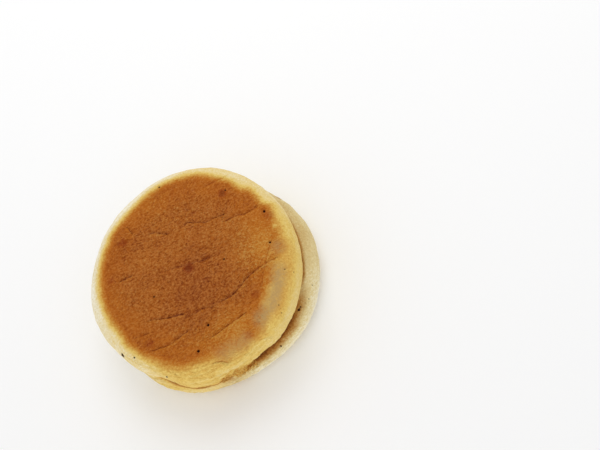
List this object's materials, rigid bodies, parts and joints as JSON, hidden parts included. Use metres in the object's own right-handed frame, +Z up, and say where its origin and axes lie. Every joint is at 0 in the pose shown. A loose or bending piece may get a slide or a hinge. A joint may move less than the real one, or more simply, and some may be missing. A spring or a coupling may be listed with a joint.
{
  "type": "soft bread roll",
  "caption": "Round flat soft bread roll, plate-browned on its top and base, with a pale side and a fold round its waist.",
  "frame": {"origin": "on the flat base, under the middle of the roll's box", "axes": "+Z up through the browned top; -Y the front, where the fold gapes; +X to the right"},
  "size_m": [0.1068, 0.1046, 0.038],
  "materials": {
    "crust": "dull soft baked crust, brown on the faces and pale yellow on the side"
  },
  "bodies": {
    "root": {"bread_roll": "crust"}
  },
  "joints": []
}
